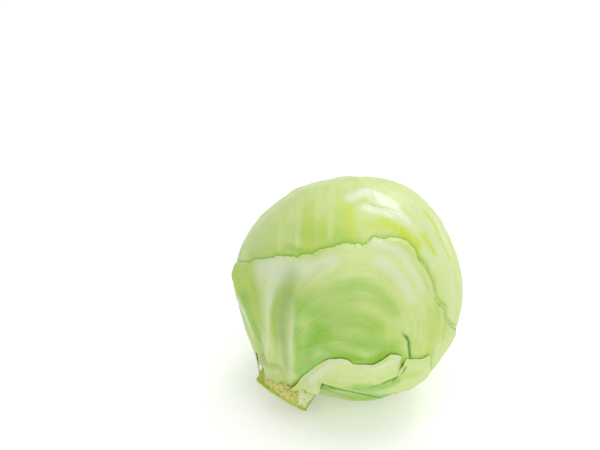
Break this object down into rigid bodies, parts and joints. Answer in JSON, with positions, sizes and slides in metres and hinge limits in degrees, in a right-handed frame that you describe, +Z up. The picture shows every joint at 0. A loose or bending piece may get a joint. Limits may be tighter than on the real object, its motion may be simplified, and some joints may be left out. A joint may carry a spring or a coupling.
{
  "type": "white cabbage",
  "caption": "Whole white cabbage lying on its side on a cut stem stub: a dense round head wrapped in thin ribbed leaves, the outer ones torn.",
  "frame": {"origin": "middle of the flat spot that the cabbage rests on, straight below the centre of the head", "axes": "+Z up; the crown leans toward +X and the cut stem end points down toward -X; the large front leaf faces -X and -Y"},
  "size_m": [0.1669, 0.1732, 0.1657],
  "materials": {
    "stem_flesh": "matt, fibrous cut end",
    "inner_leaf": "satin",
    "pale_leaf": "waxy satin",
    "green_leaf": "waxy satin"
  },
  "bodies": {
    "root": {"stem": "stem_flesh", "head": "inner_leaf", "leaf_top": "pale_leaf", "leaf_back": "green_leaf", "leaf_left": "green_leaf", "leaf_under": "green_leaf", "leaf_front": "green_leaf", "leaf_lower_right": "pale_leaf"}
  },
  "joints": []
}
